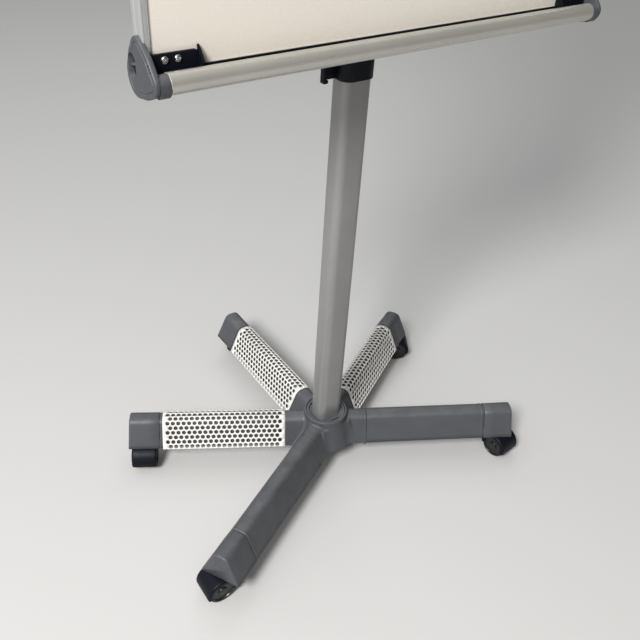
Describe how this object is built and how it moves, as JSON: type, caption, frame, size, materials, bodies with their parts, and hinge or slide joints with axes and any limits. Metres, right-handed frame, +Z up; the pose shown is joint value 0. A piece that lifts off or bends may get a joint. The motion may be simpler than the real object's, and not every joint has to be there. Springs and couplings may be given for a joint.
{
  "type": "flipchart easel",
  "caption": "Mobile flipchart easel with a star base on twin-wheel casters, a telescopic column, an upright writing board, a pen tray and a hinged paper clamp",
  "frame": {"origin": "on the floor under the centre of the object's bounding box", "axes": "+Z up, the board faces -Y, +X is the viewer's right"},
  "size_m": [0.7273, 0.6348, 1.866],
  "materials": {
    "grey_plastic": "textured slate-grey moulding",
    "black_plastic": "fine-grained black moulding",
    "caster_nylon": "worn black nylon",
    "white_guard": "white powder coat on perforated sheet",
    "silver_paint": "satin silver-grey powder coat",
    "black_steel": "black powder coat",
    "bare_steel": "zinc-plated steel",
    "satin_aluminium": "satin anodised extrusion",
    "writing_enamel": "off-white dry-wipe coating",
    "fibre_core": "light fibre board",
    "back_metal": "mill-finish backing sheet"
  },
  "bodies": {
    "base": {"hub_cover": "grey_plastic", "hub_trim_ring": "grey_plastic", "hub_core": "bare_steel", "foot_bolt": "bare_steel", "arm_beams": "black_steel", "arm_cover_front_right": "grey_plastic", "arm_cover_front_left": "grey_plastic", "rear_arm_covers": "grey_plastic", "guard_rear_right": "white_guard", "guard_rear": "white_guard", "guard_rear_left": "white_guard", "caster_sockets": "black_plastic", "column_tube": "silver_paint", "guide_bush": "black_plastic", "height_collar": "black_plastic", "lever_pin": "bare_steel", "end_cap_front_right": "grey_plastic", "end_cap_rear_right": "grey_plastic", "end_cap_rear": "grey_plastic", "end_cap_rear_left": "grey_plastic", "end_cap_front_left": "grey_plastic"},
    "board": {"inner_tube": "satin_aluminium", "tube_plug": "black_plastic", "board_brackets": "black_steel", "bracket_fasteners": "bare_steel", "frame_bottom": "satin_aluminium", "frame_right": "satin_aluminium", "frame_top": "satin_aluminium", "frame_left": "satin_aluminium", "writing_sheet": "writing_enamel", "board_core": "fibre_core", "back_sheet": "back_metal", "tray_rail": "satin_aluminium", "tray_channel": "black_plastic", "tray_end_left": "grey_plastic", "tray_end_right": "grey_plastic", "tray_brackets": "black_plastic", "tray_screws": "bare_steel", "head_rail": "satin_aluminium", "head_caps": "grey_plastic", "clamp_pins": "bare_steel"},
    "lever": {"clamp_lever": "black_plastic"},
    "paper_clamp": {"clamp_bar": "satin_aluminium"},
    "stud_left": {"paper_stud_left": "black_plastic"},
    "stud_right": {"paper_stud_right": "black_plastic"},
    "swivel_front_right": {"caster_fork_front_right": "black_plastic"},
    "wheels_front_right": {"caster_wheels_front_right": "caster_nylon", "caster_axle_front_right": "bare_steel"},
    "swivel_rear_right": {"caster_fork_rear_right": "black_plastic"},
    "wheels_rear_right": {"caster_wheels_rear_right": "caster_nylon", "caster_axle_rear_right": "bare_steel"},
    "swivel_rear": {"caster_fork_rear": "black_plastic"},
    "wheels_rear": {"caster_wheels_rear": "caster_nylon", "caster_axle_rear": "bare_steel"},
    "swivel_rear_left": {"caster_fork_rear_left": "black_plastic"},
    "wheels_rear_left": {"caster_wheels_rear_left": "caster_nylon", "caster_axle_rear_left": "bare_steel"},
    "swivel_front_left": {"caster_fork_front_left": "black_plastic"},
    "wheels_front_left": {"caster_wheels_front_left": "caster_nylon", "caster_axle_front_left": "bare_steel"}
  },
  "joints": [
    {"name": "height_adjust", "type": "slide", "parent": "base", "child": "board", "axis": [0, 0, 1], "range_m": [-0.15, 0.15]},
    {"name": "lever_swing", "type": "hinge", "parent": "base", "child": "lever", "pos_m": [-0.038, -0.0881, 0.818], "axis": [0, 1, 0], "range_deg": [0, 100]},
    {"name": "paper_clamp_lift", "type": "hinge", "parent": "board", "child": "paper_clamp", "pos_m": [0, -0.1971, 1.831], "axis": [-1, 0, 0], "range_deg": [0, 95]},
    {"name": "stud_left_slide", "type": "slide", "parent": "board", "child": "stud_left", "axis": [1, 0, 0], "range_m": [-0.12, 0.1]},
    {"name": "stud_right_slide", "type": "slide", "parent": "board", "child": "stud_right", "axis": [1, 0, 0], "range_m": [-0.1, 0.12]},
    {"name": "caster_swivel_front_right", "type": "hinge", "parent": "base", "child": "swivel_front_right", "pos_m": [0.3111, -0.26301, 0.057], "axis": [0, 0, 1], "continuous": true},
    {"name": "wheel_spin_front_right", "type": "hinge", "parent": "swivel_front_right", "child": "wheels_front_right", "pos_m": [0.31319, -0.28692, 0.025], "axis": [0.9962, 0.0872, 0], "continuous": true},
    {"name": "caster_swivel_rear_right", "type": "hinge", "parent": "base", "child": "swivel_rear_right", "pos_m": [0.30657, 0.0829, 0.057], "axis": [0, 0, 1], "continuous": true},
    {"name": "wheel_spin_rear_right", "type": "hinge", "parent": "swivel_rear_right", "child": "wheels_rear_right", "pos_m": [0.3267, 0.06983, 0.025], "axis": [0.5446, 0.8387, 0], "continuous": true},
    {"name": "caster_swivel_rear", "type": "hinge", "parent": "base", "child": "swivel_rear", "pos_m": [0, 0.2599, 0.057], "axis": [0, 0, 1], "continuous": true},
    {"name": "wheel_spin_rear", "type": "hinge", "parent": "swivel_rear", "child": "wheels_rear", "pos_m": [0.012, 0.28069, 0.025], "axis": [-0.866, 0.5, 0], "continuous": true},
    {"name": "caster_swivel_rear_left", "type": "hinge", "parent": "base", "child": "swivel_rear_left", "pos_m": [-0.30657, 0.0829, 0.057], "axis": [0, 0, 1], "continuous": true},
    {"name": "wheel_spin_rear_left", "type": "hinge", "parent": "swivel_rear_left", "child": "wheels_rear_left", "pos_m": [-0.31857, 0.06211, 0.025], "axis": [0.866, -0.5, 0], "continuous": true},
    {"name": "caster_swivel_front_left", "type": "hinge", "parent": "base", "child": "swivel_front_left", "pos_m": [-0.3111, -0.26301, 0.057], "axis": [0, 0, 1], "continuous": true},
    {"name": "wheel_spin_front_left", "type": "hinge", "parent": "swivel_front_left", "child": "wheels_front_left", "pos_m": [-0.3351, -0.26301, 0.025], "axis": [0, -1, 0], "continuous": true}
  ]
}
